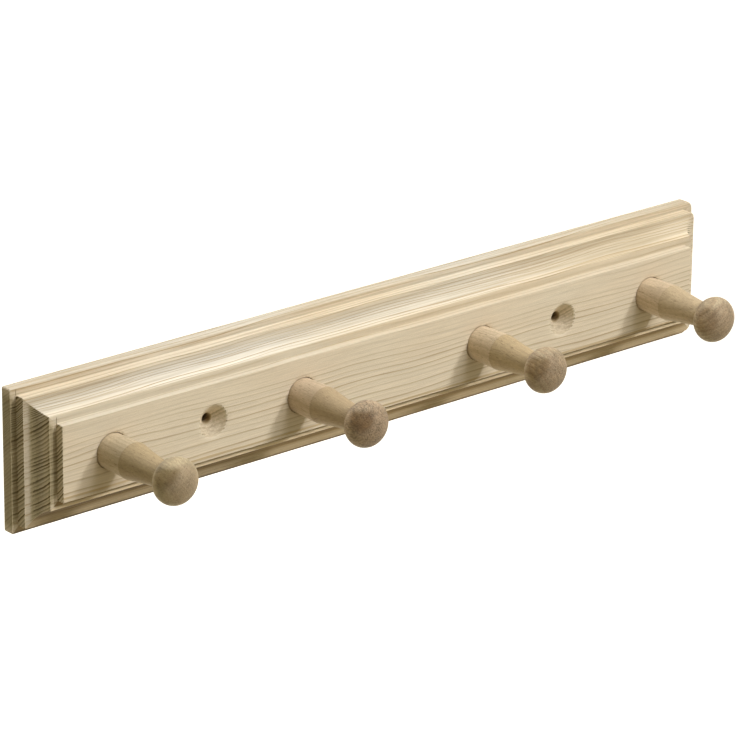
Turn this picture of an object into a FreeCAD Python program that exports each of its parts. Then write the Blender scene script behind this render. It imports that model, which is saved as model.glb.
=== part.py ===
import FreeCAD, Part
import math
import os

import Sketcher

# A wall coat rack: one moulded softwood board and four turned hardwood pegs, glued into blind sockets.
# Lengths are in millimetres. X runs along the board, +Y into the wall and +Z up.
# The origin is the middle of the board's back face, so the wall is the plane Y = 0.

# Each row is the size's name in the sheet, its value and what it measures.
SIZES = (
    ("board_length", 420.0, "board, end to end"),
    ("board_height", 70.0, "board, bottom edge to top edge"),
    ("board_thickness", 23.0, "board, wall to front face"),
    ("corner_radius", 1.0, "rounding of the four outer corners"),
    ("inner_step", 4.3, "moulding: drop from the front face to the inner ledge"),
    ("inner_ledge", 4.1, "moulding: flat between the inner step and the cove"),
    ("cove_drop", 7.5, "moulding: depth of the cove"),
    ("cove_width", 8.8, "moulding: width of the cove"),
    ("outer_step", 5.2, "moulding: drop from the cove to the outer ledge"),
    ("outer_ledge", 3.5, "moulding: flat between the outer step and the edge"),
    ("cutter_overrun", 2.0, "how far the moulding cutter runs past the wood"),
    ("peg_inset", 44.25, "end of the board to the nearest peg's axis"),
    ("tenon_diameter", 17.0, "peg inside its socket"),
    ("tenon_chamfer", 1.0, "lead-in at the peg's inner end"),
    ("socket_clearance", 0.3, "socket diameter less tenon diameter"),
    ("socket_floor", 7.0, "wood left behind a socket"),
    ("swell_diameter", 18.0, "peg at its crease"),
    ("swell_reach", 16.0, "front face to the crease"),
    ("neck_diameter", 12.0, "peg behind its head"),
    ("head_diameter", 22.6, "head at its widest"),
    ("head_reach", 46.0, "front face to the head's widest circle"),
    ("rim_radius", 5.6, "curve of the head's rim, seen from the side"),
    ("dome_rise", 8.4, "widest circle to the tip of the head"),
    ("screw_inset", 102.0, "end of the board to the nearest wall screw's axis"),
    ("screw_hole", 5.0, "hole for a wall screw"),
    ("countersink_diameter", 16.0, "countersink at the front face"),
    ("countersink_angle", 90.0, "countersink, full angle in degrees"),
)

PEG_NAMES = ("peg_left_outer", "peg_left_inner", "peg_right_inner", "peg_right_outer")

START, END, CENTRE = 1, 2, 3


def make_sheet(doc):
    """Put the sizes in a sheet whose cells can be named in expressions."""
    sheet = doc.addObject("Spreadsheet::Sheet", "Sizes")
    for row, (name, value, meaning) in enumerate(SIZES, start=1):
        sheet.set(f"A{row}", name)
        sheet.set(f"B{row}", str(value))
        sheet.set(f"C{row}", meaning)
        sheet.setAlias(f"B{row}", name)
    doc.recompute()
    return sheet


def cell(name):
    """The expression that reads one size."""
    return f"Sizes.{name}"


def origin_plane(body, role):
    return next(feature for feature in body.Origin.OriginFeatures if feature.Role == role)


def make_body(doc, name):
    body = doc.addObject("PartDesign::Body", name)
    body.Label = name
    return body


def make_sketch(body, name, role):
    """An empty sketch on one of the body's own origin planes."""
    sketch = body.newObject("Sketcher::SketchObject", name)
    sketch.AttachmentSupport = (origin_plane(body, role), [""])
    sketch.MapMode = "FlatFace"
    return sketch


def make_front_sketch(body, name):
    """An empty sketch on the board's front face, which looks along -Y."""
    sketch = make_sketch(body, name, "XZ_Plane")
    sketch.setExpression("AttachmentOffset.Base.z", cell("board_thickness"))
    return sketch


def point(sketch, x, y):
    """The sketch point that two expressions give now."""
    return FreeCAD.Vector(sketch.evalExpression(x), sketch.evalExpression(y), 0)


def drive(sketch, constraint, expression):
    """Add a dimension that follows an expression."""
    index = sketch.addConstraint(constraint)
    sketch.setExpression(f"Constraints[{index}]", expression)


def pin(sketch, geometry, end, x, y):
    """Hold a point of the sketch at two expressions, measured from the sketch's origin."""
    at = point(sketch, x, y)
    drive(sketch, Sketcher.Constraint("DistanceX", -1, START, geometry, end, at.x), x)
    drive(sketch, Sketcher.Constraint("DistanceY", -1, START, geometry, end, at.y), y)


def add_line(sketch, first, last):
    return sketch.addGeometry(Part.LineSegment(point(sketch, *first), point(sketch, *last)))


def add_arc(sketch, centre, first, last):
    """An arc about a point, counter-clockwise from first to last."""
    from_first = first - centre
    from_last = last - centre
    circle = Part.Circle(centre, FreeCAD.Vector(0, 0, 1), from_first.Length)
    start_angle = math.atan2(from_first.y, from_first.x)
    end_angle = math.atan2(from_last.y, from_last.x)
    return sketch.addGeometry(Part.ArcOfCircle(circle, start_angle, end_angle))


def join(sketch, first, first_end, second, second_end):
    sketch.addConstraint(Sketcher.Constraint("Coincident", first, first_end, second, second_end))


def add_polyline(sketch, corners):
    """Lines through the corners in turn, every corner held by its expressions."""
    lines = [add_line(sketch, first, last) for first, last in zip(corners, corners[1:])]
    for line, corner in zip(lines, corners):
        pin(sketch, line, START, *corner)
    pin(sketch, lines[-1], END, *corners[-1])
    for first, second in zip(lines, lines[1:]):
        join(sketch, first, END, second, START)
    return lines


def add_circle(sketch, x, y, diameter):
    """A circle whose place and diameter follow expressions."""
    radius = sketch.evalExpression(diameter) / 2
    circle = sketch.addGeometry(Part.Circle(point(sketch, x, y), FreeCAD.Vector(0, 0, 1), radius))
    pin(sketch, circle, CENTRE, x, y)
    drive(sketch, Sketcher.Constraint("Diameter", circle, 2 * radius), diameter)


def draw_moulding(sketch, place):
    """Draw what the moulding cutter takes off one edge: two steps with a hollow cove between them.

    place turns an inset from the board's edge and a depth along Y into sketch coordinates.
    """
    face = f"-{cell('board_thickness')}"
    inner = f"{face} + {cell('inner_step')}"
    cove = f"{inner} + {cell('cove_drop')}"
    outer = f"{cove} + {cell('outer_step')}"
    cove_edge = cell("outer_ledge")
    ledge_edge = f"{cove_edge} + {cell('cove_width')}"
    face_edge = f"{ledge_edge} + {cell('inner_ledge')}"
    outside = f"-{cell('cutter_overrun')}"
    in_front = f"{face} - {cell('cutter_overrun')}"

    front = ((ledge_edge, inner), (face_edge, inner), (face_edge, in_front), (outside, in_front))
    back = ((outside, outer), (cove_edge, outer), (cove_edge, cove))
    lines = add_polyline(sketch, [place(*corner) for corner in front + back])

    width = sketch.evalExpression(cell("cove_width"))
    drop = sketch.evalExpression(cell("cove_drop"))
    radius = (width**2 + drop**2) / (2 * drop)
    cove_start = point(sketch, *place(ledge_edge, inner))
    cove_end = point(sketch, *place(cove_edge, cove))
    centre = point(sketch, *place(cove_edge, f"{cove} - {radius}"))
    arc = add_arc(sketch, centre, cove_start, cove_end)
    join(sketch, arc, START, lines[0], START)
    join(sketch, arc, END, lines[-1], END)
    # The cove leaves the outer step square to it, so its centre is on the step's line.
    sketch.addConstraint(Sketcher.Constraint("PointOnObject", arc, CENTRE, lines[-1]))


def cut_both_edges(body, name, sketch, mirror_role):
    """Run a cutter right along one edge of the board, and along the opposite edge."""
    cut = body.newObject("PartDesign::Pocket", name)
    cut.Profile = sketch
    cut.Type = "ThroughAll"
    cut.SideType = "Symmetric"
    opposite = body.newObject("PartDesign::Mirrored", f"{name}Opposite")
    opposite.Originals = [cut]
    opposite.MirrorPlane = (origin_plane(body, mirror_role), [""])
    body.Tip = opposite


def make_blank(doc, body):
    """The plain board with its four corners rounded."""
    sketch = make_sketch(body, "BlankOutline", "XZ_Plane")
    half_length = f"{cell('board_length')} / 2"
    half_height = f"{cell('board_height')} / 2"
    signs = (("-", "-"), ("", "-"), ("", ""), ("-", ""), ("-", "-"))
    add_polyline(sketch, [(f"{x}{half_length}", f"{z}{half_height}") for x, z in signs])
    pad = body.newObject("PartDesign::Pad", "Blank")
    pad.Profile = sketch
    pad.setExpression("Length", cell("board_thickness"))
    doc.recompute()

    corners = [
        f"Edge{number}"
        for number, edge in enumerate(pad.Shape.Edges, start=1)
        if abs(edge.tangentAt(edge.FirstParameter).y) > 0.5
    ]
    rounding = body.newObject("PartDesign::Fillet", "Corners")
    rounding.Base = (pad, corners)
    rounding.setExpression("Radius", cell("corner_radius"))


def cut_moulding(body):
    """Cut the stepped cove along all four edges: the cuts meet in sharp mitres at the corners."""
    top = f"{cell('board_height')} / 2"
    long_edge = make_sketch(body, "LongEdgeCutter", "YZ_Plane")
    draw_moulding(long_edge, lambda inset, depth: (depth, f"{top} - ({inset})"))
    cut_both_edges(body, "LongEdge", long_edge, "XY_Plane")

    left = f"-{cell('board_length')} / 2"
    short_edge = make_sketch(body, "ShortEdgeCutter", "XY_Plane")
    draw_moulding(short_edge, lambda inset, depth: (f"{left} + {inset}", depth))
    cut_both_edges(body, "ShortEdge", short_edge, "YZ_Plane")


def peg_place(number):
    """Where a peg's axis is along the board: the pegs are evenly spaced between the insets."""
    share = number / (len(PEG_NAMES) - 1) - 0.5
    return f"{share} * ({cell('board_length')} - 2 * {cell('peg_inset')})"


def bore_sockets(body):
    """Bore the flat-bottomed sockets of the pegs from the front."""
    sketch = make_front_sketch(body, "SocketMouth")
    add_circle(sketch, peg_place(0), "0", f"{cell('tenon_diameter')} + {cell('socket_clearance')}")
    socket = body.newObject("PartDesign::Pocket", "Socket")
    socket.Profile = sketch
    socket.setExpression("Length", f"{cell('board_thickness')} - {cell('socket_floor')}")
    row = body.newObject("PartDesign::LinearPattern", "SocketRow")
    row.Originals = [socket]
    row.Direction = (sketch, ["H_Axis"])
    row.Occurrences = len(PEG_NAMES)
    row.setExpression("Length", f"{cell('board_length')} - 2 * {cell('peg_inset')}")
    body.Tip = row


def drill_screw_holes(doc, body):
    """Drill and countersink the two holes for the wall screws."""
    sketch = make_front_sketch(body, "ScrewPlaces")
    place = f"({cell('board_length')} / 2 - {cell('screw_inset')})"
    for side in ("-", ""):
        add_circle(sketch, f"{side}{place}", "0", cell("screw_hole"))
    doc.recompute()
    hole = body.newObject("PartDesign::Hole", "ScrewHoles")
    hole.Profile = sketch
    hole.DepthType = "ThroughAll"
    hole.setExpression("Diameter", cell("screw_hole"))
    hole.HoleCutType = "Countersink"
    hole.setExpression("HoleCutDiameter", cell("countersink_diameter"))
    hole.setExpression("HoleCutCountersinkAngle", cell("countersink_angle"))
    body.Tip = hole


def make_backboard(doc):
    body = make_body(doc, "backboard")
    make_blank(doc, body)
    cut_moulding(body)
    bore_sockets(body)
    drill_screw_holes(doc, body)
    return body


def draw_peg(sketch):
    """Draw half of a peg's long section: sketch X is the radius, and sketch Y is the rack's Y."""
    inner_end = f"-{cell('socket_floor')}"
    face = f"-{cell('board_thickness')}"
    tenon = f"{cell('tenon_diameter')} / 2"
    widest = f"{face} - {cell('head_reach')}"
    tip = f"{widest} - {cell('dome_rise')}"
    shank_corners = [
        ("0", tip),
        ("0", inner_end),
        (f"{tenon} - {cell('tenon_chamfer')}", inner_end),
        (tenon, f"{inner_end} - {cell('tenon_chamfer')}"),
        (tenon, face),
        (f"{cell('swell_diameter')} / 2", f"{face} - {cell('swell_reach')}"),
    ]
    lines = add_polyline(sketch, shank_corners)

    # The head is one rim curve between two equal domes, and the back dome stops at the neck.
    rim_place = (f"{cell('head_diameter')} / 2 - {cell('rim_radius')}", widest)
    rim_centre = point(sketch, *rim_place)
    rim_radius = sketch.evalExpression(cell("rim_radius"))
    rise = sketch.evalExpression(cell("dome_rise"))
    dome_radius = (rim_centre.x**2 + rise**2 - rim_radius**2) / (2 * (rise - rim_radius))
    to_dome = FreeCAD.Vector(0, dome_radius - rise, 0)
    middle = point(sketch, "0", widest)
    front_centre = middle + to_dome
    back_centre = middle - to_dome
    front_meeting = front_centre + (rim_centre - front_centre).normalize() * dome_radius
    back_meeting = back_centre + (rim_centre - back_centre).normalize() * dome_radius
    neck_half = f"{cell('neck_diameter')} / 2"
    neck_radius = sketch.evalExpression(neck_half)
    neck = back_centre + FreeCAD.Vector(neck_radius, math.sqrt(dome_radius**2 - neck_radius**2), 0)

    taper = sketch.addGeometry(Part.LineSegment(point(sketch, *shank_corners[-1]), neck))
    back = add_arc(sketch, back_centre, back_meeting, neck)
    rim = add_arc(sketch, rim_centre, front_meeting, back_meeting)
    front = add_arc(sketch, front_centre, point(sketch, "0", tip), front_meeting)
    pin(sketch, rim, CENTRE, *rim_place)
    drive(sketch, Sketcher.Constraint("Radius", rim, rim_radius), cell("rim_radius"))
    drive(sketch, Sketcher.Constraint("DistanceX", -1, START, back, END, neck_radius), neck_half)
    join(sketch, taper, START, lines[-1], END)
    join(sketch, taper, END, back, END)
    join(sketch, front, START, lines[0], START)
    sketch.addConstraint(Sketcher.Constraint("Tangent", back, START, rim, END))
    sketch.addConstraint(Sketcher.Constraint("Tangent", front, END, rim, START))
    sketch.addConstraint(Sketcher.Constraint("PointOnObject", front, CENTRE, lines[0]))
    sketch.addConstraint(Sketcher.Constraint("PointOnObject", back, CENTRE, lines[0]))
    sketch.addConstraint(Sketcher.Constraint("Equal", front, back))


def make_peg(doc, number, name):
    """Turn one peg and set it in its socket, against the socket's floor."""
    body = make_body(doc, name)
    sketch = make_sketch(body, f"PegSection{number}", "XY_Plane")
    draw_peg(sketch)
    turned = body.newObject("PartDesign::Revolution", f"Turned{number}")
    turned.Profile = sketch
    turned.ReferenceAxis = (sketch, ["V_Axis"])
    turned.Angle = 360
    body.setExpression("Placement.Base.x", peg_place(number))
    return body


def check(doc, bodies):
    """Stop before anything is written if a feature failed or a cut missed the wood."""
    for item in doc.Objects:
        if {"Invalid", "Error"} & set(item.State):
            raise RuntimeError(f"{item.Name} failed: {item.State}")
    for body in bodies:
        if body.Shape.isNull() or not body.Shape.isValid() or len(body.Shape.Solids) != 1:
            raise RuntimeError(f"{body.Label} is not one sound solid")
        features = [item for item in body.Group if getattr(item, "BaseFeature", None)]
        for feature in features:
            if abs(feature.Shape.Volume - feature.BaseFeature.Shape.Volume) < 1e-3:
                raise RuntimeError(f"{feature.Name} changes nothing")


def main():
    doc = FreeCAD.newDocument("CoatRack")
    make_sheet(doc)
    bodies = [make_backboard(doc)]
    bodies += [make_peg(doc, number, name) for number, name in enumerate(PEG_NAMES)]
    doc.recompute()
    check(doc, bodies)
    os.makedirs("parts", exist_ok=True)
    for body in bodies:
        body.Shape.exportStep(f"parts/{body.Label}.step")


main()
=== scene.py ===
import math
import random

import bpy
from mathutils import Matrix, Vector
from mathutils.geometry import delaunay_2d_cdt


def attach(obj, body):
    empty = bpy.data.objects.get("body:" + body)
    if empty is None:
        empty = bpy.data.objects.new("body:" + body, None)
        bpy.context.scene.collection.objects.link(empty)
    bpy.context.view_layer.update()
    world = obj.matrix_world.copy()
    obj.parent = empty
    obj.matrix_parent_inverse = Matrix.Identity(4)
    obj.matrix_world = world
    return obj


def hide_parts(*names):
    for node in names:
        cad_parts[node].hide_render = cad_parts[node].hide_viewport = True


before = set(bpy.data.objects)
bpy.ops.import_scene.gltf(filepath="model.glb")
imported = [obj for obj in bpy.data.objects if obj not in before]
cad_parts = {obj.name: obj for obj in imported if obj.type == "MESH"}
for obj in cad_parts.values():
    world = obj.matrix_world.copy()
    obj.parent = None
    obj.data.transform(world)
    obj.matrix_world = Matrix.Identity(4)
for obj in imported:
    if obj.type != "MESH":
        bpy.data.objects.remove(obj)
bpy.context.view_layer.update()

# Shapes are drawn in millimetres: X along the board, Z up, and "out" is the distance from the wall.
MM = 0.001
LENGTH = 420.0
HEIGHT = 70.0
THICKNESS = 23.0

# The board's corners: nearly sharp on the left, rubbed round on the right, and less so further in.
CORNER_RADIUS = 1.0
WORN_RADIUS = 4.2
WORN_LOSS = 0.2
MITRE_EASE = 0.3

# The moulding's section: walls by their inset from the board's edge, ledges by their distance out.
LIP = 6.0
WALL_1 = 3.5
COVE_OUT = 11.2
COVE_INNER = 12.3
LEDGE_2_OUT = 18.7
WALL_2 = 16.4
COVE_WIDTH = COVE_INNER - WALL_1
COVE_RISE = LEDGE_2_OUT - COVE_OUT
COVE_RADIUS = (COVE_WIDTH**2 + COVE_RISE**2) / (2 * COVE_RISE)
BACK_MARGIN = 1.6
FACE_MARGIN = 1.4

# The height of the face's long edges above and below the middle. The moulding's marks start from them.
FACE_EDGE = HEIGHT / 2 - WALL_2

# How far the moulding's edges sway, and fray along the board and on its ends.
SWAY = 0.05
LONG_FRAY = 0.02
END_FRAY = 0.07

# Holes in the board. Each ring of a socket's mouth is so much wider, so deep and so far torn.
SOCKET_RADIUS = 8.65
SOCKET_DEPTH = 16.0
SOCKET_MOUTH = ((0.12, 0.0, 0.45), (0.04, 0.5, 0.16))
SOCKET_SOUND = 1.4
SINK_RADIUS = 8.0
SINK_WIDER = 0.05
SINK_TEAR = 0.3
SINK_ROUGHNESS = 0.24
SCREW_RADIUS = 2.5
SCREW_WIDER = 0.1
SCREW_TEAR = 0.35
SCREW_EDGE = 0.6
SCREW_RINGS = (12.0, 5.0)
SCREW_REACH = 108.0
SCREW_PLACES = (-SCREW_REACH, SCREW_REACH)

# A flat face has no triangle whose middle is nearer to a hole's middle than its radius and this.
SOCKET_OPEN = 0.6
SINK_OPEN = 0.4
SCREW_OPEN = 0.5

# A peg's section. Reaches are measured from the board's face.
PEG_NAMES = ("peg_left_outer", "peg_left_inner", "peg_right_inner", "peg_right_outer")
PEG_SPACING = 110.5
PEG_PLACES = tuple(PEG_SPACING * step for step in (-1.5, -0.5, 0.5, 1.5))
TENON_RADIUS = 8.5
TENON_CHAMFER = 1.0
CREASE_REACH = 16.0
CREASE_RADIUS = 9.0
CREASE_WIDTH = 0.3
CREASE_DEPTH = 0.02
TAPER_HOLLOW = 0.30
NECK_RADIUS = 6.0
NECK_GAP = 0.55
NECK_FILLET = ((0.02, -0.35), (0.14, -0.02), (0.42, 0.12))
NECK_TURN = 7.0
HEAD_REACH = 46.0
HEAD_RADIUS = 11.3
HEAD_RISE = 8.4
RIM_RADIUS = 6.8
DOME_END = 89.0
SANDED = 0.004
SANDED_FROM = 1.0
TOOL_MARK = 0.025

# How finely the shapes are divided.
LONG_STEPS = 210
SHORT_STEPS = 70
CORNER_STEPS = 8
EASE_STEPS = 4
COVE_STEPS = 18
HOLE_STEPS = 72
SINK_STEPS = 14
PEG_STEPS = 96
TENON_STEPS = 9
SWELL_STEPS = 16
TAPER_STEPS = 22
RIM_STEPS = 26
DOME_STEPS = 14
FACE_SPACING = 2.0
BACK_SPACING = 4.0

# The section starts with this many points at the back: the end of the flat and the rounded edge.
BACK_POINTS = EASE_STEPS + 2

# Seeds of the random unevenness. Repeated holes and pegs add their own number.
SWAY_SEED = 3
NIBBLE_SEED = 4
SOCKET_SEED = 20
SINK_SEED = 40
FUZZ_SEED = 50
STREAK_SEED = 60
SCREW_SEED = 70
SAND_SEED = 80
TURN_SEED = 90

# Colours of the pine, and its growth rings.
PINE_EARLY = (0.626, 0.532, 0.398)
PINE_WARM = (0.626, 0.508, 0.362)
PINE_LATE = (0.344, 0.248, 0.136)
PINE_LATE_END = (0.136, 0.102, 0.050)
PINE_SUNK = (0.390, 0.285, 0.155)
PINE_CHIP = (0.205, 0.142, 0.070)
PINE_BORE_MOUTH = (0.420, 0.310, 0.170)
# The painted shade deep in the screw holes, which also darkens the fine cut lines.
PINE_HOLE_SHADE_AND_CUT = (0.120, 0.076, 0.036)
RING_WIDTH = 2.8
RING_SLANT = 0.85

# Colours of the beech, its growth rings, and the ball of the head that its marks are placed on.
BEECH_PLAIN = (0.490, 0.392, 0.256)
BEECH_PINK = (0.498, 0.374, 0.253)
BEECH_LATE = (0.264, 0.182, 0.107)
# Flecks, and the painted shade in the crease.
BEECH_FLECK_AND_SHADE = (0.184, 0.120, 0.068)
BEECH_END = (0.250, 0.169, 0.101)
BEECH_PORE = (0.096, 0.060, 0.034)
BEECH_RING_WIDTH = 2.3
GRAIN_SHIFT = 31.7
# The side of each head that a painted rim light brightens.
RIM_LIGHT_SIDE = (-0.975, 0.10, 0.20)
HEAD_CENTRE = HEAD_REACH - 1.5
HEAD_SCALE = HEAD_RADIUS - 0.5

# What differs from peg to peg: the turn of the grain in radians, how pink and pale the shank is, the
# colours of the taper and the head, how rough and streaked the head is, and on which side of the head
# painted shade falls, with the tint of that.
PEG_WOOD = (
    {
        "turn": 0.4, "pink": 0.10, "pale": 1.02, "rough": 0.30, "streak": 0.10,
        "taper": (0.384, 0.286, 0.160), "head": (0.384, 0.306, 0.186),
        "shade_side": (-0.70, -0.44, 0.57), "shade_tint": (0.56, 0.51, 0.40),
    },
    {
        "turn": 2.1, "pink": 0.75, "pale": 1.04, "rough": 1.45, "streak": 0.30,
        "taper": (0.391, 0.288, 0.168), "head": (0.305, 0.227, 0.146),
        "shade_side": (-0.57, -0.68, 0.47), "shade_tint": (0.50, 0.42, 0.31),
    },
    {
        "turn": 3.6, "pink": 0.45, "pale": 1.16, "rough": 0.75, "streak": 0.48,
        "taper": (0.436, 0.323, 0.182), "head": (0.350, 0.270, 0.168),
        "shade_side": (-0.74, -0.49, 0.45), "shade_tint": (0.64, 0.57, 0.45),
    },
    {
        "turn": 5.2, "pink": 0.60, "pale": 1.16, "rough": 0.75, "streak": 0.42,
        "taper": (0.473, 0.358, 0.220), "head": (0.378, 0.294, 0.186),
        "shade_side": (-0.80, -0.56, 0.23), "shade_tint": (0.70, 0.64, 0.57),
    },
)

# The studio, in metres. Each lamp has its name, place, size, spread in degrees, watts and colour.
LAMPS = (
    ("key", (1.79, -3.54, 2.52), 0.70, 60, 12.4, (0.95, 0.97, 1.0)),
    ("top", (-0.10, -0.25, 1.50), 1.1, 110, 2.3, (0.92, 0.96, 1.0)),
    ("over", (0.50, -1.02, 2.08), 1.25, 110, 15.4, (0.89, 0.93, 1.0)),
    ("high", (3.00, -1.95, 2.10), 2.25, 120, 3.4, (1.0, 0.95, 0.86)),
    ("back", (-0.60, 2.60, 1.60), 1.4, 110, 18.0, (0.96, 0.97, 1.0)),
)
WHITE = (1.0, 1.0, 1.0, 1.0)
FILL = 0.23
FILL_COLOUR = (1.0, 0.88, 0.44, 1.0)
FLOOR_SIZE = 14.0
FLOOR_HEIGHT = -0.9
FLOOR_COLOUR = (0.74, 0.69, 0.57, 1.0)
FLOOR_GLOW = 0.96

# The camera that the photo's moulding lines and peg outlines give: metres, degrees and millimetres.
CAMERA_PLACE = (-1.31195, -1.55469, 0.77019)
CAMERA_ANGLES = (69.105, -0.544, -40.035)
CAMERA_LENS = 223.63
CAMERA_SENSOR = 36.0


def waves(seed, count, shortest, longest):
    """A smooth random function of one length, between about -1 and 1."""
    rng = random.Random(seed)
    terms = []
    for _ in range(count):
        length = shortest * (longest / shortest) ** rng.random()
        terms.append((2 * math.pi / length, rng.random() * 2 * math.pi, 0.6 + 0.8 * rng.random()))
    total = sum(term[2] for term in terms)
    return lambda at: sum(size * math.sin(rate * at + phase) for rate, phase, size in terms) * 1.6 / total


class Shape:
    """A growing list of points and faces, in millimetres."""

    def __init__(self):
        self.points = []
        self.faces = []

    def add(self, x, out, z):
        self.points.append((x * MM, -out * MM, z * MM))
        return len(self.points) - 1

    def tube(self, loops):
        """Join closed loops with as many points each, one after the other."""
        for first, second in zip(loops, loops[1:]):
            count = len(first)
            for i in range(count):
                j = (i + 1) % count
                self.faces.append((first[i], first[j], second[j], second[i]))

    def cap(self, loop, centre):
        count = len(loop)
        for i in range(count):
            self.faces.append((loop[i], loop[(i + 1) % count], centre))

    def build(self, name):
        mesh = bpy.data.meshes.new(name)
        mesh.from_pydata(self.points, [], self.faces)
        mesh.validate()
        piece = bpy.data.objects.new(name, mesh)
        bpy.context.collection.objects.link(piece)
        bpy.context.view_layer.objects.active = piece
        piece.select_set(True)
        bpy.ops.object.mode_set(mode="EDIT")
        bpy.ops.mesh.select_all(action="SELECT")
        bpy.ops.mesh.normals_make_consistent(inside=False)
        bpy.ops.object.mode_set(mode="OBJECT")
        piece.select_set(False)
        mesh.shade_smooth()
        return piece


def eased(corners):
    """The path through (inset, out, radius) corners, each rounded by its radius."""
    path = []
    last = len(corners) - 1
    for i, (inset, out, radius) in enumerate(corners):
        here = Vector((inset, out))
        if radius == 0 or i in (0, last):
            path.append(here)
            continue
        back = (Vector(corners[i - 1][:2]) - here).normalized()
        ahead = (Vector(corners[i + 1][:2]) - here).normalized()
        half = back.angle(ahead) / 2
        reach = radius / math.tan(half)
        centre = here + (back + ahead).normalized() * (radius / math.sin(half))
        start = here + back * reach - centre
        end = here + ahead * reach - centre
        turn = start.angle_signed(end)
        for step in range(EASE_STEPS + 1):
            angle = -turn * step / EASE_STEPS
            c, s = math.cos(angle), math.sin(angle)
            path.append(centre + Vector((start.x * c - start.y * s, start.x * s + start.y * c)))
    return path


def moulding_path():
    """The board's section round its edge, from the flat back to the flat face, as (inset, out)."""
    corners = [
        (BACK_MARGIN, 0.0, 0),
        (0.0, 0.0, 0.5),
        (0.0, LIP, 0.55),
        (WALL_1, LIP, 0.25),
        (WALL_1, COVE_OUT, 0.35),
    ]
    centre_out = COVE_OUT + COVE_RADIUS
    start = -math.pi / 2
    end = math.atan2(LEDGE_2_OUT - centre_out, COVE_WIDTH)
    for step in range(1, COVE_STEPS):
        angle = start + (end - start) * step / COVE_STEPS
        inset = WALL_1 + COVE_RADIUS * math.cos(angle)
        corners.append((inset, centre_out + COVE_RADIUS * math.sin(angle), 0))
    corners += [
        (COVE_INNER, LEDGE_2_OUT, 0.3),
        (WALL_2, LEDGE_2_OUT, 0.25),
        (WALL_2, THICKNESS, 0.4),
        (WALL_2 + FACE_MARGIN, THICKNESS, 0),
    ]
    return eased(corners)


def board_ring(inset):
    """A rectangle with rounded corners, inset from the board's edge, clockwise from the top left."""
    half_length = LENGTH / 2 - inset
    half_height = HEIGHT / 2 - inset
    left = max(CORNER_RADIUS - inset, MITRE_EASE)
    right = max(WORN_RADIUS - WORN_LOSS * inset, MITRE_EASE)
    x = half_length - right
    z = half_height - right
    near_x = half_length - left
    near_z = half_height - left
    sides = (
        ((-near_x, half_height), (x, half_height), LONG_STEPS, (x, z), right, 90),
        ((half_length, z), (half_length, -z), SHORT_STEPS, (x, -z), right, 0),
        ((x, -half_height), (-near_x, -half_height), LONG_STEPS, (-near_x, -near_z), left, -90),
        ((-half_length, -near_z), (-half_length, near_z), SHORT_STEPS, (-near_x, near_z), left, 180),
    )
    ring = []
    for first, last, steps, centre, radius, angle in sides:
        for step in range(steps + 1):
            t = step / steps
            ring.append((first[0] + (last[0] - first[0]) * t, first[1] + (last[1] - first[1]) * t))
        for step in range(1, CORNER_STEPS):
            turn = math.radians(angle - 90 * step / CORNER_STEPS)
            ring.append((centre[0] + radius * math.cos(turn), centre[1] + radius * math.sin(turn)))
    return ring


def moulded_loops(shape):
    """Loops round the board, one for each point of its section. All but the outermost sway and fray."""
    sway = waves(SWAY_SEED, 7, 30, 160)
    nibble = waves(NIBBLE_SEED, 12, 1.5, 9)
    loops = []
    for number, (inset, out) in enumerate(moulding_path()):
        steady = inset < 0.01 or number < BACK_POINTS
        loop = []
        for x, z in board_ring(inset):
            # The factors below only keep one side or loop from repeating the next.
            along = x + 1.7 * z
            fray = END_FRAY if abs(x) > LENGTH / 2 - inset - 1 else LONG_FRAY
            drift = SWAY * sway(along + 37 * out) + fray * nibble(along + 11 * number)
            if steady:
                drift = 0
            scale_x = 1 - drift / (LENGTH / 2)
            scale_z = 1 - drift / (HEIGHT / 2)
            loop.append(shape.add(x * scale_x, out, z * scale_z))
        loops.append(loop)
    shape.tube(loops)
    return loops


def fill_face(shape, out, outer, holes, spacing):
    """Fill a flat face between an outer loop and round holes with triangles of even size."""
    rims = [outer] + [loop for _, _, loop in holes]
    known = [index for loop in rims for index in loop]
    flat = [Vector((shape.points[i][0] / MM, shape.points[i][2] / MM)) for i in known]
    edges = []
    first = 0
    for loop in rims:
        edges += [(first + i, first + (i + 1) % len(loop)) for i in range(len(loop))]
        first += len(loop)
    half_x = max(p.x for p in flat) - spacing * 0.6
    half_z = max(p.y for p in flat) - spacing * 0.6
    columns = int(2 * half_x / spacing)
    rows = int(2 * half_z / spacing)
    for column in range(columns + 1):
        for row in range(rows + 1):
            p = Vector((
                -half_x + 2 * half_x * column / columns,
                -half_z + 2 * half_z * row / rows,
            ))
            if all((p - Vector((x, 0))).length > radius + spacing * 0.5 for x, radius, _ in holes):
                flat.append(p)
    points, _, triangles, sources, _, _ = delaunay_2d_cdt(flat, edges, [], 1, 1e-5)
    index = []
    for p, source in zip(points, sources):
        if source and source[0] < len(known):
            index.append(known[source[0]])
        else:
            index.append(shape.add(p.x, out, p.y))
    for triangle in triangles:
        middle = sum((points[i] for i in triangle), Vector((0, 0))) / len(triangle)
        if all((middle - Vector((x, 0))).length > radius for x, radius, _ in holes):
            shape.faces.append(tuple(index[i] for i in triangle))


def hole_loop(shape, x, radius, out, ripple=None):
    loop = []
    for step in range(HOLE_STEPS):
        angle = 2 * math.pi * step / HOLE_STEPS
        r = radius + (ripple(angle, out) if ripple else 0)
        loop.append(shape.add(x + r * math.cos(angle), out, r * math.sin(angle)))
    return loop


def torn(seed, size):
    """A ragged rim: fibres lift where the cutter crosses the grain, above and below the middle least."""
    wave = waves(seed, 9, 0.25, 1.6)
    return lambda angle, out: size * (0.5 + 0.5 * wave(angle)) * (0.35 + 0.65 * abs(math.cos(angle)))


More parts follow.
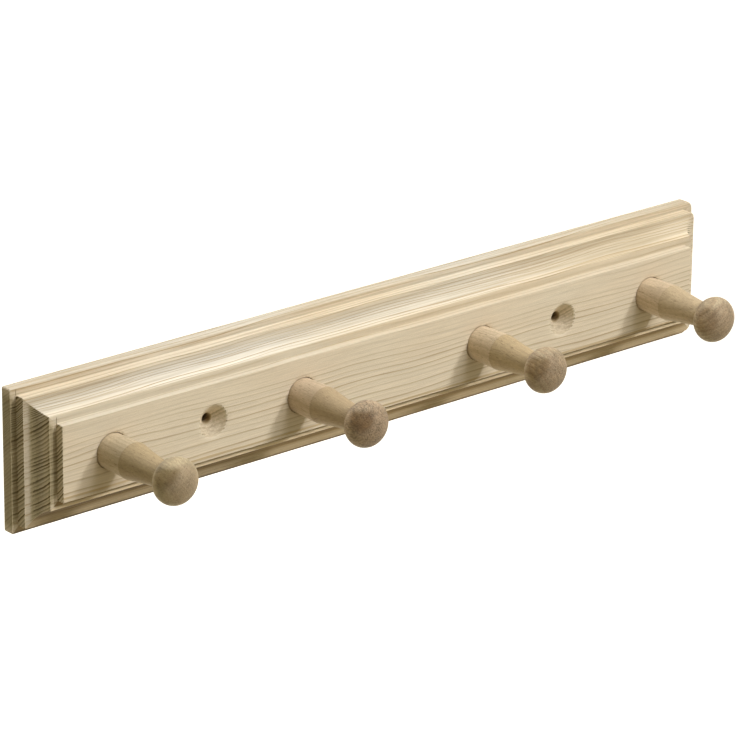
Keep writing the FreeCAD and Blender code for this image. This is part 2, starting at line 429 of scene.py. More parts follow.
def add_socket(shape, number, x):
    """A blind peg socket. Gives its place, the radius that the face leaves open, and its torn mouth."""
    loops = []
    for wider, depth, tear in SOCKET_MOUTH:
        rag = torn(SOCKET_SEED + number, tear)
        loops.append(hole_loop(shape, x, SOCKET_RADIUS + wider, THICKNESS - depth, rag))
    for depth in (SOCKET_SOUND, SOCKET_DEPTH):
        loops.append(hole_loop(shape, x, SOCKET_RADIUS, THICKNESS - depth))
    shape.tube(loops)
    shape.cap(loops[-1], shape.add(x, THICKNESS - SOCKET_DEPTH, 0))
    return x, SOCKET_RADIUS + SOCKET_OPEN, loops[0]


def add_screw_hole(shape, number, x):
    """A rough countersink and a hole right through. Gives place, open radius and mouth, front and back."""
    sink_depth = SINK_RADIUS - SCREW_RADIUS
    fuzz = waves(FUZZ_SEED + number, 14, 0.35, 1.5)
    streak = waves(STREAK_SEED + number, 10, 0.5, 3.0)
    rag = torn(SINK_SEED + number, SINK_TEAR)
    loops = [hole_loop(shape, x, SINK_RADIUS + SINK_WIDER, THICKNESS, rag)]
    for step in range(1, SINK_STEPS + 1):
        depth = sink_depth * step / SINK_STEPS
        radius = SINK_RADIUS - depth
        size = SINK_ROUGHNESS * math.sin(math.pi * step / (SINK_STEPS + 1))

        def rough(angle, out, radius=radius, size=size):
            height = radius * math.sin(angle)
            return size * (0.6 * streak(height) + 0.5 * fuzz(angle * 3 + out * 2.1))

        loops.append(hole_loop(shape, x, radius, THICKNESS - depth, rough))
    for out in (THICKNESS - sink_depth - SCREW_EDGE, *SCREW_RINGS, SCREW_EDGE):
        loops.append(hole_loop(shape, x, SCREW_RADIUS, out))
    rag = torn(SCREW_SEED + number, SCREW_TEAR)
    loops.append(hole_loop(shape, x, SCREW_RADIUS + SCREW_WIDER, 0.0, rag))
    shape.tube(loops)
    return (x, SINK_RADIUS + SINK_OPEN, loops[0]), (x, SCREW_RADIUS + SCREW_OPEN, loops[-1])


def make_board():
    shape = Shape()
    loops = moulded_loops(shape)
    front_holes = [add_socket(shape, number, x) for number, x in enumerate(PEG_PLACES)]
    back_holes = []
    for number, x in enumerate(SCREW_PLACES):
        front_hole, back_hole = add_screw_hole(shape, number, x)
        front_holes.append(front_hole)
        back_holes.append(back_hole)
    fill_face(shape, THICKNESS, loops[-1], front_holes, FACE_SPACING)
    fill_face(shape, 0.0, loops[0], back_holes, BACK_SPACING)
    return shape.build("moulded_board")


def arc(centre, radius, start, end, steps):
    """Points on an arc in the peg's section, angles in degrees from the radius towards the room."""
    points = []
    for step in range(steps + 1):
        angle = math.radians(start + (end - start) * step / steps)
        points.append((centre[0] + radius * math.cos(angle), centre[1] + radius * math.sin(angle)))
    return points


def peg_path():
    """A peg's section as (radius, out), from its inner end to the last ring of its head, and its tip."""
    inner = THICKNESS - SOCKET_DEPTH
    crease = THICKNESS + CREASE_REACH
    rim = (HEAD_RADIUS - RIM_RADIUS, THICKNESS + HEAD_REACH)
    tip = rim[1] + HEAD_RISE
    dome_radius = (rim[0] ** 2 + HEAD_RISE**2 - RIM_RADIUS**2) / (2 * (HEAD_RISE - RIM_RADIUS))
    dome = (0.0, tip - dome_radius)
    meeting = math.degrees(math.atan2(rim[1] - dome[1], rim[0]))
    neck_angle = -math.degrees(math.acos((NECK_RADIUS - rim[0]) / RIM_RADIUS))
    neck_radius, neck_out = arc(rim, RIM_RADIUS, neck_angle, meeting, 1)[0]

    path = [(TENON_RADIUS - TENON_CHAMFER, inner)]
    shoulder = inner + TENON_CHAMFER
    for step in range(TENON_STEPS + 1):
        path.append((TENON_RADIUS, shoulder + (THICKNESS - shoulder) * step / TENON_STEPS))
    for step in range(1, SWELL_STEPS):
        t = step / SWELL_STEPS
        path.append((TENON_RADIUS + (CREASE_RADIUS - TENON_RADIUS) * t, THICKNESS + CREASE_REACH * t))
    for side in (-0.5, 0.5):
        path.append((CREASE_RADIUS - CREASE_DEPTH, crease + CREASE_WIDTH * side))
    for step in range(1, TAPER_STEPS):
        t = step / TAPER_STEPS
        hollow = TAPER_HOLLOW * 4 * t * (1 - t)
        radius = CREASE_RADIUS + (neck_radius - CREASE_RADIUS) * t - hollow
        path.append((radius, crease + (neck_out - NECK_GAP - crease) * t))
    path += [(neck_radius + wider, neck_out + further) for wider, further in NECK_FILLET]
    path += arc(rim, RIM_RADIUS, neck_angle + NECK_TURN, meeting, RIM_STEPS)
    path += arc(dome, dome_radius, meeting, DOME_END, DOME_STEPS)[1:]
    return path, tip


def make_peg(number, name):
    """One turned peg, with the slight unevenness of hand sanding."""
    shape = Shape()
    path, tip = peg_path()
    place = PEG_PLACES[number]
    sand = waves(SAND_SEED + number, 6, 0.8, 3.2)
    turn = waves(TURN_SEED + number, 10, 2.0, 12.0)
    loops = []
    for radius, out in path:
        loop = []
        for step in range(PEG_STEPS):
            angle = 2 * math.pi * step / PEG_STEPS
            r = radius
            if out > THICKNESS + SANDED_FROM:
                r *= 1 - SANDED * (0.5 + 0.5 * sand(angle + 0.02 * out))
                r -= TOOL_MARK * (0.5 + 0.5 * turn(out))
            loop.append(shape.add(place + r * math.cos(angle), out, r * math.sin(angle)))
        loops.append(loop)
    shape.tube(loops)
    shape.cap(loops[0], shape.add(place, THICKNESS - SOCKET_DEPTH, 0))
    shape.cap(loops[-1], shape.add(place, tip, 0))
    return shape.build(f"turned_{name}")


class Graph:
    """Short names for the nodes of one material or of the world."""

    def __init__(self, owner):
        self.owner = owner
        owner.use_nodes = True
        self.tree = owner.node_tree
        self.tree.nodes.clear()

    def add(self, kind, inputs, **settings):
        node = self.tree.nodes.new(kind)
        for key, value in settings.items():
            setattr(node, key, value)
        for key, value in inputs.items():
            if isinstance(value, bpy.types.NodeSocket):
                self.tree.links.new(value, node.inputs[key])
            else:
                node.inputs[key].default_value = value
        return node

    def math(self, operation, *values):
        return self.add("ShaderNodeMath", dict(enumerate(values)), operation=operation).outputs[0]

    def sum(self, *values):
        total = values[0]
        for value in values[1:]:
            total = self.math("ADD", total, value)
        return total

    def times(self, *values):
        total = values[0]
        for value in values[1:]:
            total = self.math("MULTIPLY", total, value)
        return total

    def rest(self, value):
        return self.math("SUBTRACT", 1.0, value)

    def most(self, *values):
        total = values[0]
        for value in values[1:]:
            total = self.math("MAXIMUM", total, value)
        return total

    def vector(self, x, y, z):
        return self.add("ShaderNodeCombineXYZ", {0: x, 1: y, 2: z}).outputs[0]

    def noise(self, vector, detail=2.0, roughness=0.5):
        """Noise about zero, between about -0.5 and 0.5."""
        inputs = {"Vector": vector, "Scale": 1.0, "Detail": detail, "Roughness": roughness}
        return self.math("SUBTRACT", self.add("ShaderNodeTexNoise", inputs).outputs["Fac"], 0.5)

    def grain(self, place, scales, **settings):
        """Noise that is stretched by its own scale along each of three lengths."""
        return self.noise(self.vector(*(self.times(p, s) for p, s in zip(place, scales))), **settings)

    def random(self, value):
        return self.add("ShaderNodeTexWhiteNoise", {"W": value}, noise_dimensions="1D").outputs["Value"]

    def smooth(self, value, low, high, bottom=0.0, top=1.0):
        inputs = {"Value": value, "From Min": low, "From Max": high, "To Min": bottom, "To Max": top}
        return self.add("ShaderNodeMapRange", inputs, interpolation_type="SMOOTHSTEP").outputs[0]

    def band(self, value, start, full, last, end):
        """A mask that rises from start to full and falls from last to end."""
        return self.times(self.smooth(value, start, full), self.smooth(value, last, end, 1.0, 0.0))

    def mix(self, factor, first, second, blend="MIX"):
        node = self.add("ShaderNodeMix", {}, data_type="RGBA", blend_type=blend)
        for socket, value in zip((node.inputs[0], node.inputs[6], node.inputs[7]), (factor, first, second)):
            if isinstance(value, bpy.types.NodeSocket):
                self.tree.links.new(value, socket)
            else:
                socket.default_value = value if socket == node.inputs[0] else (*value, 1.0)
        return node.outputs[2]

    def tint(self, mask, colour, factors):
        """The colour, multiplied by three factors where the mask is."""
        return self.mix(mask, colour, self.mix(1.0, colour, factors, "MULTIPLY"))

    def scaled(self, colour, tone):
        return self.mix(1.0, colour, self.vector(tone, tone, tone), "MULTIPLY")

    def position(self):
        """Object coordinates in millimetres, as three numbers."""
        place = self.add("ShaderNodeTexCoord", {}).outputs["Object"]
        scaled = self.add("ShaderNodeVectorMath", {0: place, "Scale": 1 / MM}, operation="SCALE").outputs[0]
        return tuple(self.add("ShaderNodeSeparateXYZ", {0: scaled}).outputs)

    def normal(self):
        place = self.add("ShaderNodeNewGeometry", {}).outputs["True Normal"]
        return tuple(self.add("ShaderNodeSeparateXYZ", {0: place}).outputs)

    def seen(self):
        """1 for what the camera sees directly, in a reflection or through something clear."""
        path = self.add("ShaderNodeLightPath", {}).outputs
        return self.most(path["Is Camera Ray"], path["Is Glossy Ray"], path["Is Transmission Ray"])

    def finish(self, colour, roughness, height, strength, distance, specular, sheen):
        bump = self.add("ShaderNodeBump", {"Height": height, "Strength": strength, "Distance": distance})
        inputs = {
            "Base Color": colour,
            "Roughness": roughness,
            "Normal": bump.outputs[0],
            "Specular IOR Level": specular,
            "Sheen Weight": sheen,
        }
        shader = self.add("ShaderNodeBsdfPrincipled", inputs)
        self.add("ShaderNodeOutputMaterial", {"Surface": shader.outputs[0]})
        return self.owner


class Pine(Graph):
    """The board's raw rift-sawn softwood. Its marks lie so many millimetres along, or from a named edge."""

    def __init__(self):
        super().__init__(bpy.data.materials.new("raw_pine"))
        self.place = self.position()
        self.find_rings()
        self.find_moulding()
        self.find_holes()

    def find_rings(self):
        """Growth rings that run through the whole board, so that face and end grain agree."""
        x, y, z = self.place
        slow = self.grain(self.place, (0.009, 0.035, 0.035), detail=1.0)
        self.wavy = self.grain(self.place, (0.030, 0.11, 0.11))
        jitter = self.grain(self.place, (0.05, 0.7, 0.7))
        self.zone = self.sum(z, self.times(y, RING_SLANT))
        bends = (self.times(slow, 9.0), self.times(self.wavy, 1.2), self.times(jitter, 0.5))
        level = self.sum(self.zone, *bends)
        uneven = self.noise(self.vector(self.times(level, 0.13), 3.7, 8.1))
        dense = self.math("MINIMUM", self.most(self.sum(level, -7.0), 0.0), 15.0)
        even = self.times(level, 1 / RING_WIDTH)
        self.ring = self.sum(even, self.times(uneven, 2.2), self.times(dense, 0.20))
        phase = self.math("FRACT", self.ring)
        number = self.math("FLOOR", self.ring)
        self.line = self.band(phase, 0.66, 0.90, 0.91, 0.99)
        self.late = self.band(phase, 0.10, 0.70, 0.91, 0.99)
        self.fade = self.noise(self.vector(self.times(x, 0.02), self.times(number, 1.7), 4.0), detail=1.0)
        self.vigour = self.sum(0.16, self.times(self.random(number), 0.95), self.times(self.fade, 1.1))
        self.fibre = self.grain(self.place, (0.04, 1.9, 1.9), detail=4.0, roughness=0.7)
        self.fine = self.grain(self.place, (0.25, 7.0, 7.0), roughness=0.6)
        self.streaks = self.grain(self.place, (0.012, 0.85, 0.85))

    def find_moulding(self):
        """Masks for the top, bottom and left sides of the moulding, and for end grain."""
        x, y, z = self.place
        from_long = self.math("SUBTRACT", HEIGHT / 2, self.math("ABSOLUTE", z))
        from_short = self.math("SUBTRACT", LENGTH / 2, self.math("ABSOLUTE", x))
        self.front = self.smooth(y, -0.3, -1.0)
        past_mitre = self.math("SUBTRACT", from_short, from_long)
        self.along = self.times(self.front, self.smooth(past_mitre, -0.1, 0.3))
        self.above_face = self.sum(z, -FACE_EDGE)
        self.below_face = self.math("SUBTRACT", -FACE_EDGE, z)
        self.upper = self.times(self.smooth(self.above_face, 3.8, 4.4), self.along)
        self.under = self.times(self.smooth(self.below_face, 4.0, 4.8), self.along)

        self.from_left = self.sum(x, LENGTH / 2)
        self.into_cove = self.sum(self.from_left, -WALL_1)
        past_left = self.math("SUBTRACT", from_long, self.from_left)
        mitre = self.times(self.front, self.smooth(past_left, -0.1, 0.3))
        up_to_ledge = self.smooth(self.from_left, COVE_INNER, COVE_INNER + 0.3, 1.0, 0.0)
        self.left_cove = self.times(mitre, up_to_ledge)
        on_ledge_1 = self.times(
            self.smooth(self.from_left, WALL_1 - 0.2, WALL_1 + 0.1, 1.0, 0.0),
            self.smooth(y, -LIP - 0.6, -LIP - 0.3),
        )
        on_ledge_2 = self.times(
            self.band(self.from_left, COVE_INNER - 0.4, COVE_INNER + 0.4, WALL_2 - 0.2, WALL_2 + 0.1),
            self.smooth(y, -LEDGE_2_OUT - 0.6, -LEDGE_2_OUT - 0.3),
        )
        on_ledge = self.most(on_ledge_1, on_ledge_2)
        self.left_ledge = self.times(self.front, self.smooth(past_left, 1.0, 6.0), on_ledge)

        self.end = self.smooth(self.math("ABSOLUTE", self.normal()[0]), 0.15, 0.60)
        self.cut = self.most(self.end, self.times(self.left_ledge, 0.7))
        self.sawn = self.smooth(self.math("ABSOLUTE", x), LENGTH / 2 - 0.8, LENGTH / 2 - 0.3)

    def find_holes(self):
        """Masks for the countersinks, their rims and the screw holes."""
        x, y, z = self.place
        beside = self.math("SUBTRACT", self.math("ABSOLUTE", x), SCREW_REACH)
        to_right = self.times(beside, self.math("SIGN", x))
        radius = self.math("SQRT", self.sum(self.times(beside, beside), self.times(z, z)))
        from_rim = self.sum(radius, -SINK_RADIUS)
        cone = self.smooth(y, 8.0 - THICKNESS, 6.0 - THICKNESS)
        self.sunk = self.times(
            self.smooth(from_rim, -0.4, 0.0, 1.0, 0.0),
            self.smooth(y, -THICKNESS, 0.3 - THICKNESS),
            cone,
        )
        self.bore = self.smooth(radius, SCREW_RADIUS, SCREW_RADIUS + 0.5, 1.0, 0.0)
        self.fuzz = self.grain(self.place, (0.3, 1.1, 1.1), detail=3.0, roughness=0.65)
        rim = self.times(cone, self.band(from_rim, -1.4, -0.5, 0.2, 0.5))
        upper_right = self.smooth(self.sum(to_right, z), -2.0, 3.0)
        self.chip = self.times(rim, self.smooth(self.fuzz, 0.02, 0.16), upper_right)

    def wood(self):
        """Pale early wood, warmer in clouds, and darker in the rings that surface on the top moulding."""
        cloud = self.grain(self.place, (0.02, 0.06, 0.06), detail=3.0)
        colour = self.mix(self.smooth(cloud, -0.2, 0.25, 0.0, 0.5), PINE_EARLY, PINE_WARM)
        pale_strip = self.band(self.zone, 6.0, 8.5, 15.0, 20.0)
        darker = self.sum(self.smooth(self.zone, 0.5, 3.0), self.times(pale_strip, -0.45))
        return self.tint(self.times(darker, 0.9), colour, (0.87, 0.855, 0.825))

    def paint_lower_moulding(self, colour):
        """Painted shade under the face, the step's shadow and the cove's top; a paler ledge edge with a
        painted highlight, a golden cove, and a dark ring along the face's edge.
        """
        x, y, z = self.place
        behind_face = self.smooth(y, 0.6 - THICKNESS, 1.2 - THICKNESS)
        behind_ledge = self.smooth(y, -LEDGE_2_OUT - 0.6, -LEDGE_2_OUT - 0.3)
        # Painted shadow that the step below the face casts on the ledge beside it.
        step = self.times(self.band(self.below_face, -0.1, 0.4, 2.1, 2.8), self.along, behind_face)
        # A paler ledge edge, with a painted highlight where the lamp catches the ledge's lit strip.
        pale_edge_and_highlight = self.times(self.band(self.below_face, 2.7, 3.3, 4.1, 4.5), self.along, behind_ledge)
        # Painted shade on the cove's edge under the ledge.
        shaded_cove_edge = self.times(self.band(self.below_face, 4.1, 4.7, 5.8, 7.0), self.along, 0.8)
        golden = self.times(self.under, self.smooth(self.below_face, 8.2, 10.4, 1.0, 0.0))
        wander = self.times(self.wavy, 0.8)
        from_vein = self.math("ABSOLUTE", self.sum(z, FACE_EDGE - 1.4, self.times(x, 0.0043), wander))
        on_face = self.smooth(y, 0.6 - THICKNESS, 0.3 - THICKNESS)
        vein = self.times(self.smooth(from_vein, 0.25, 0.75, 1.0, 0.0), on_face)
        marks = (
            # Painted shade: the whole lower moulding darker, as it faces down.
            (self.under, (0.66, 0.605, 0.510)),
            (step, (0.46, 0.378, 0.268)),
            (pale_edge_and_highlight, (1.28, 1.255, 1.200)),
            (shaded_cove_edge, (0.74, 0.690, 0.600)),
            (golden, (1.06, 0.94, 0.72)),
            (vein, (0.77, 0.69, 0.56)),
        )
        for mask, factors in marks:
            colour = self.tint(mask, colour, factors)
        return colour

    def paint_upper_moulding(self, colour):
        """A painted silvery sheen on the left, darker on the right, a greyer lip and fine brown lines."""
        x = self.place[0]
        above = self.above_face
        creamy = self.times(self.smooth(above, 7.9, 10.9), self.smooth(x, 50.0, 0.0, 0.0, 0.8))
        # Painted sheen, silvery and bluer, on the step and ledge at the left.
        step = self.times(self.along, self.band(above, -0.3, 0.1, 3.8, 4.4), self.smooth(x, -10.0, -60.0))
        # Painted sheen over the top moulding's left, weaker on its upper part.
        painted_sheen = self.times(self.upper, self.smooth(x, 150.0, 50.0), self.rest(creamy))
        lip_top = self.times(self.upper, self.smooth(above, 15.7, 16.2))
        # More painted sheen along one stretch at the left.
        shine = self.times(self.upper, self.band(x, -180.0, -130.0, -80.0, -30.0))
        # Darker on the right.
        dull = self.times(
            self.upper,
            self.smooth(above, 12.6, 12.9, 1.0, 0.0),
            self.smooth(x, 30.0, 170.0),
            self.smooth(x, 165.0, 190.0, 1.0, 0.3),
        )
        marks = (
            (step, (1.0, 1.04, 1.10)),
            (painted_sheen, (1.0, 1.05, 1.14)),
            (lip_top, (0.92, 0.945, 0.99)),
            (shine, (1.05, 1.08, 1.14)),
            (dull, (0.82, 0.81, 0.78)),
        )
        for mask, factors in marks:
            colour = self.tint(mask, colour, factors)
        lined = self.times(self.upper, self.smooth(self.streaks, 0.02, 0.15))
        return self.mix(self.times(lined, 0.40), colour, PINE_LATE)

    def paint_rings(self, colour):
        """Late wood: fine lines on long grain, and broader and darker ones where the grain is cut across."""
        on_face = self.sum(self.times(self.line, 0.66), self.times(self.late, 0.10))
        on_face = self.times(on_face, self.smooth(self.zone, 4.0, 9.0, 1.0, 1.45), self.vigour)
        end_ring = self.times(self.ring, 1.45)
        end_random = self.random(self.math("FLOOR", end_ring))
        end_vigour = self.sum(0.42, self.times(end_random, 0.76), self.times(self.fade, 0.8))
        on_end = self.times(self.band(self.math("FRACT", end_ring), 0.15, 0.80, 0.88, 0.99), end_vigour)
        depth = self.sum(self.times(on_face, self.rest(self.cut)), self.times(on_end, self.cut))
        blurred = self.most(self.times(self.sawn, 0.65), self.times(self.sunk, 0.55))
        depth = self.times(depth, self.rest(blurred))
        return self.mix(depth, colour, self.mix(self.cut, PINE_LATE, PINE_LATE_END))

    def paint_left_end(self, colour):
        """Painted warm shade on the end grain in the hollow of the left cove and on the ledges beside it."""
        hollow = self.times(self.left_cove, self.band(self.into_cove, 2.3, 3.9, 5.5, 7.5))
        # Painted shade: a warmer tint where the walls' shadows fall on the cove and its ledges.
        painted_warm_shade = self.most(hollow, self.times(self.left_ledge, 0.8))
        return self.tint(painted_warm_shade, colour, (1.04, 1.0, 0.78))

    def tone(self):
        """How much lighter or darker each place is, as a factor on the colour."""
        x, y, z = self.place
        above = self.above_face
        on_lip = self.smooth(y, -LIP - 0.6, -LIP - 0.2)
        brink = self.times(self.along, self.band(above, 1.4, 3.8, 4.4, 5.4))
        dip = self.times(self.upper, self.band(above, 5.4, 8.4, 10.8, 11.6))
        # Painted highlight on the top of the first wall.
        crest = self.times(self.upper, self.smooth(above, 12.3, 12.7), self.rest(on_lip))
        # Painted shade in the corner where the lip's ledge meets the first wall's top.
        foot = self.times(self.upper, on_lip, self.smooth(above, 13.4, 14.4, 1.0, 0.0))
        top = self.sum(
            self.times(brink, 0.17),
            self.times(dip, self.smooth(x, 170.0, -60.0, 0.0, -0.20)),
            self.times(crest, 0.16),
            self.times(foot, -0.16),
            self.times(self.upper, self.smooth(self.streaks, 0.0, -0.20, 0.04, 0.16)),
        )
        # Painted shade on the lower moulding: darker towards the left end, where the pegs' shadows fall, and
        # on the cove's inner half, which faces down, with its outer half lighter where the lamp reaches it.
        # It is also darker along the bottom edge.
        bottom = self.sum(
            self.smooth(x, -40.0, -110.0, 0.0, -0.24),
            self.smooth(self.below_face, 7.6, 11.2, -0.32, 0.24),
            self.smooth(self.below_face, 15.0, 15.8, 0.0, -0.50),
            self.times(self.fibre, 0.70),
        )
        # Painted shade across the left end's cove: darker from its start to its middle, and lighter again
        # towards the second ledge.
        left_cove = self.sum(
            self.smooth(self.into_cove, 0.1, 0.7, 0.0, -0.24),
            self.smooth(self.into_cove, 2.1, 3.9, 0.0, -0.25),
            self.smooth(self.into_cove, 5.3, 8.7, 0.0, 0.58),
        )
        ends = self.sum(
            self.times(self.end, self.smooth(self.from_left, WALL_2 - 0.3, WALL_2, -0.02, 0.10)),
            self.times(self.sawn, 0.02),
            # Painted shadow of the left end's walls on its ledges.
            self.times(self.left_ledge, -0.44),
            self.times(self.left_cove, left_cove),
        )
        # Painted light and shade in the countersinks: lighter on their upper walls, which face away from the
        # lamps, and darker on their lower walls, which face them.
        sink = self.sum(self.smooth(z, -5.0, 4.0, -0.24, 0.24), self.times(self.fuzz, 1.1))
        return self.sum(
            1.0,
            self.times(self.fibre, 0.52),
            self.times(self.fine, 0.16),
            top,
            self.times(self.under, bottom),
            ends,
            self.times(self.sunk, sink),
        )

    def paint_holes(self, colour):
        """Brown torn wood in the countersinks, chips on their rims, and painted shade in the screw holes,
        darker deeper in.
        """
        y = self.place[1]
        colour = self.mix(self.times(self.sunk, 0.30), colour, PINE_SUNK)
        colour = self.mix(self.times(self.chip, 0.70), colour, PINE_CHIP)
        # Painted shade in the screw holes: from their mouth colour to darker deeper in.
        inside = self.mix(self.smooth(y, 6.5 - THICKNESS, 10.5 - THICKNESS), PINE_BORE_MOUTH, PINE_HOLE_SHADE_AND_CUT)
        return self.mix(self.times(self.bore, 0.85), colour, inside)

    def score_line(self, inset, length):
        """A mask for the fine cut that the end cutter leaves where it runs past the top left mitre."""
        x, _, z = self.place
        wander = self.noise(self.vector(self.times(z, 0.6), inset, 0.0), detail=1.0)
        beside = self.math("ABSOLUTE", self.sum(x, LENGTH / 2 - inset, self.times(wander, 0.5)))
        line = self.smooth(beside, 0.10, 0.26, 1.0, 0.0)
        start = HEIGHT / 2 - inset
        end = start + length
        return self.times(line, self.band(z, start - 0.3, start + 0.2, end - 1.2, end), self.front)


def pine():
    g = Pine()
    colour = g.wood()
    colour = g.paint_lower_moulding(colour)
    colour = g.paint_upper_moulding(colour)
    colour = g.paint_rings(colour)
    colour = g.paint_left_end(colour)
    colour = g.scaled(colour, g.tone())
    colour = g.paint_holes(colour)
    score = g.sum(g.score_line(WALL_1, 3.2), g.score_line(WALL_2, 3.6))
    colour = g.mix(g.times(score, 0.75), colour, PINE_HOLE_SHADE_AND_CUT)
    height = g.sum(g.times(g.line, 0.35), g.times(g.fibre, 0.8), g.times(g.fine, 0.7), g.times(score, -2.5))
    roughness = g.sum(0.72, g.times(g.line, -0.10), g.times(g.fibre, 0.1))
    return g.finish(colour, roughness, height, strength=0.35, distance=0.0002, specular=0.18, sheen=0.03)


class Beech(Graph):
    """One peg's raw turned hardwood, with its grain turned and shifted so that no two pegs are alike."""

    def __init__(self, number):
        super().__init__(bpy.data.materials.new(f"raw_beech_{number + 1}"))
        self.looks = PEG_WOOD[number]
        x, self.y, self.z = self.position()
        self.across = self.math("SUBTRACT", x, PEG_PLACES[number])
        cos, sin = math.cos(self.looks["turn"]), math.sin(self.looks["turn"])
        a = self.sum(self.times(self.across, cos), self.times(self.z, sin))
        b = self.sum(self.times(self.across, -sin), self.times(self.z, cos))
        shift = GRAIN_SHIFT * number
        self.place = (a, self.sum(self.y, shift), b)
        self.find_grain(a, b, shift)
        self.find_parts()

    def find_grain(self, a, b, shift):
        """Rings, short flecks and fibres along the peg, and pores on its end grain."""
        slow = self.grain(self.place, (0.05, 0.015, 0.05), detail=1.0)
        ring = self.sum(self.times(a, 1 / BEECH_RING_WIDTH), self.times(b, 0.08), self.times(slow, 4.0))
        self.late = self.band(self.math("FRACT", ring), 0.2, 0.9, 0.92, 1.0)
        self.fleck = self.smooth(self.grain(self.place, (1.8, 0.26, 1.8), roughness=0.55), 0.08, 0.20)
        self.coarse = self.grain(self.place, (1.4, 0.6, 1.4), roughness=0.6)
        self.fibre = self.grain(self.place, (1.1, 0.05, 1.1), detail=3.0)
        self.fine = self.grain(self.place, (6.0, 0.9, 6.0))
        self.blotch = self.grain(self.place, (0.16, 0.16, 0.16))
        self.end = self.smooth(self.times(self.normal()[1], -1.0), 0.55, 0.92)
        pore = self.noise(self.vector(self.times(a, 1.9), shift, self.times(b, 1.9)), detail=1.0)
        self.pore = self.times(self.smooth(pore, 0.11, 0.22), self.end)

    def find_parts(self):
        """Masks for the peg's taper, crease and head."""
        crease = THICKNESS + CREASE_REACH
        widest = THICKNESS + HEAD_REACH
        self.taper = self.smooth(self.y, 0.4 - crease, -0.4 - crease)
        self.crease = self.smooth(self.math("ABSOLUTE", self.sum(self.y, crease)), 0.15, 0.55, 1.0, 0.0)
        self.head = self.smooth(self.y, 12.0 - widest, 2.0 - widest)

    def facing(self, side):
        """How far a point of the head lies towards one side: 1 on that side, 0 half way round."""
        out = self.sum(self.y, THICKNESS + HEAD_CENTRE)
        parts = (self.times(length, share) for length, share in zip((self.across, out, self.z), side))
        return self.times(self.sum(*parts), 1 / HEAD_SCALE)

    def wood(self):
        """Shank, taper and head, each in its own colour, with late wood, flecks, pores, and painted shade in
        the crease.
        """
        looks = self.looks
        blend = zip(BEECH_PLAIN, BEECH_PINK)
        shank = tuple((plain + (pink - plain) * looks["pink"]) * looks["pale"] for plain, pink in blend)
        colour = self.mix(self.taper, shank, looks["taper"])
        colour = self.mix(self.head, colour, looks["head"])
        late = self.times(self.late, self.sum(0.20, self.times(self.head, looks["streak"])))
        colour = self.mix(late, colour, BEECH_LATE)
        colour = self.mix(self.times(self.fleck, 0.45), colour, BEECH_FLECK_AND_SHADE)
        colour = self.mix(self.times(self.end, 0.50), colour, BEECH_END)
        colour = self.mix(self.times(self.pore, 0.60), colour, BEECH_PORE)
        # Painted shade: a dark line in the crease.
        return self.mix(self.times(self.crease, 0.12), colour, BEECH_FLECK_AND_SHADE)

    def paint_head(self, colour):
        """Painted shade on one side of the head, and a painted rim light and top light that brighten its rim
        and top.
        """
        # Painted shade on one side of the head, below its top.
        ragged = self.sum(self.times(self.blotch, 0.14), self.times(self.coarse, 0.07))
        core_shade = self.smooth(self.sum(self.facing(self.looks["shade_side"]), ragged), 0.74, 0.98)
        below_top = self.math("SUBTRACT", HEAD_RADIUS, self.z)
        core_shade = self.times(self.head, core_shade, self.smooth(below_top, 1.5, 4.1))
        colour = self.tint(core_shade, colour, self.looks["shade_tint"])
        # Painted rim light on one side of the head, and painted light on its top.
        rim = self.smooth(self.facing(RIM_LIGHT_SIDE), 0.82, 0.97)
        rim_and_top_light = self.most(rim, self.smooth(below_top, 1.1, 2.7, 0.35, 0.0))
        return self.tint(self.times(self.head, rim_and_top_light), colour, (1.30, 1.30, 1.32))

    def tone(self):
        """How much lighter or darker each place is, as a factor on the colour."""
        return self.sum(
            1.0,
            self.times(self.fibre, 0.24),
            self.times(self.fine, 0.20),
            self.times(self.coarse, self.sum(0.46, self.times(self.head, self.looks["rough"]))),
            self.times(self.head, self.blotch, 0.75),
        )


def beech(number):
    g = Beech(number)
    colour = g.paint_head(g.wood())
    colour = g.scaled(colour, g.tone())
    height = g.sum(
        g.times(g.fibre, 0.5),
        g.times(g.fine, 0.6),
        g.times(g.coarse, 0.8),
        g.times(g.fleck, -0.5),
        g.times(g.pore, -1.0),
    )
    roughness = g.sum(0.62, g.times(g.fine, 0.15), g.times(g.fleck, 0.08))
    return g.finish(colour, roughness, height, strength=0.4, distance=0.00025, specular=0.22, sheen=0.03)


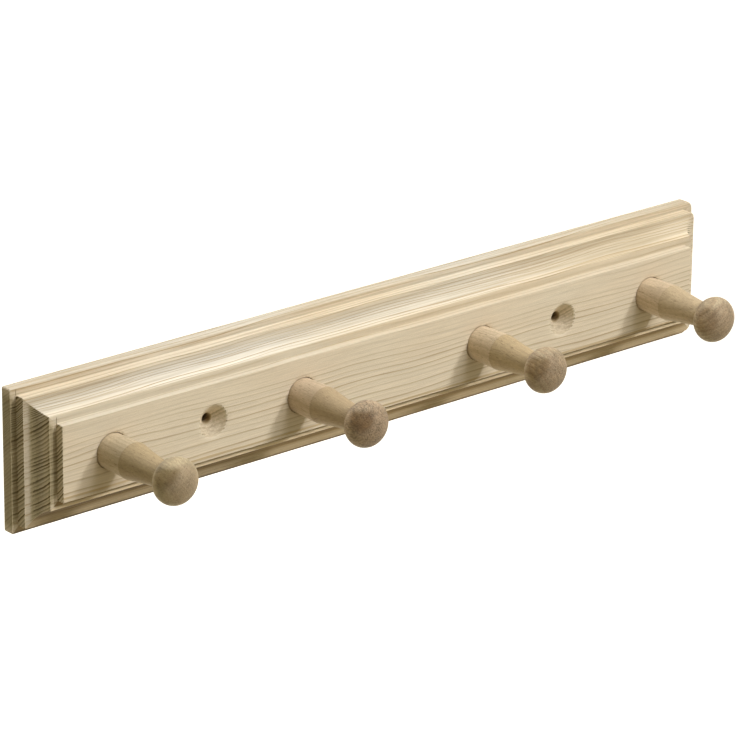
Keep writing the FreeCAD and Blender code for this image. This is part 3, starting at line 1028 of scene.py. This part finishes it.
def pale_floor():
    """A pale floor that shows white to the camera where it is lit, and keeps the rack's shadow."""
    g = Graph(bpy.data.materials.new("pale_floor"))
    matt = g.add("ShaderNodeBsdfDiffuse", {"Color": FLOOR_COLOUR})
    glow = g.add("ShaderNodeEmission", {"Color": WHITE, "Strength": g.times(g.seen(), FLOOR_GLOW)})
    both = g.add("ShaderNodeAddShader", {0: matt.outputs[0], 1: glow.outputs[0]})
    g.add("ShaderNodeOutputMaterial", {"Surface": both.outputs[0]})
    return g.owner


def white_world():
    """White to the camera and to reflections, and a low warm fill for everything else."""
    g = Graph(bpy.data.worlds.new("studio"))
    fill = g.add("ShaderNodeBackground", {"Color": FILL_COLOUR, "Strength": FILL})
    white = g.add("ShaderNodeBackground", {"Color": WHITE, "Strength": 1.0})
    both = g.add("ShaderNodeMixShader", {0: g.seen(), 1: fill.outputs[0], 2: white.outputs[0]})
    g.add("ShaderNodeOutputWorld", {"Surface": both.outputs[0]})
    bpy.context.scene.world = g.owner


def lamp(name, place, size, spread, watts, colour):
    """A square soft lamp that looks at the middle of the rack's back."""
    data = bpy.data.lights.new(name, "AREA")
    data.shape = "SQUARE"
    data.size = size
    data.spread = math.radians(spread)
    data.energy = watts
    data.color = colour
    item = bpy.data.objects.new(name, data)
    item.location = place
    item.rotation_euler = Vector(place).to_track_quat("Z", "Y").to_euler()
    bpy.context.collection.objects.link(item)


def make_camera():
    """The photo's camera."""
    data = bpy.data.cameras.new("camera")
    data.sensor_fit = "HORIZONTAL"
    data.sensor_width = CAMERA_SENSOR
    data.lens = CAMERA_LENS
    data.clip_end = 50.0
    item = bpy.data.objects.new("camera", data)
    item.location = CAMERA_PLACE
    item.rotation_euler = [math.radians(angle) for angle in CAMERA_ANGLES]
    bpy.context.collection.objects.link(item)
    bpy.context.scene.camera = item


board = make_board()
board.data.materials.append(pine())
weighted = board.modifiers.new("normals", "WEIGHTED_NORMAL")
weighted.keep_sharp = True
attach(board, "root")
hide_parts("backboard")

for peg_number, peg_name in enumerate(PEG_NAMES):
    peg = make_peg(peg_number, peg_name)
    peg.data.materials.append(beech(peg_number))
    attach(peg, "root")
    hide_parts(peg_name)

bpy.ops.mesh.primitive_plane_add(size=FLOOR_SIZE, location=(0.0, 0.0, FLOOR_HEIGHT))
floor = bpy.context.object
floor.name = "floor"
floor.data.materials.append(pale_floor())

white_world()
for settings in LAMPS:
    lamp(*settings)
make_camera()
bpy.context.scene.view_settings.view_transform = "Standard"
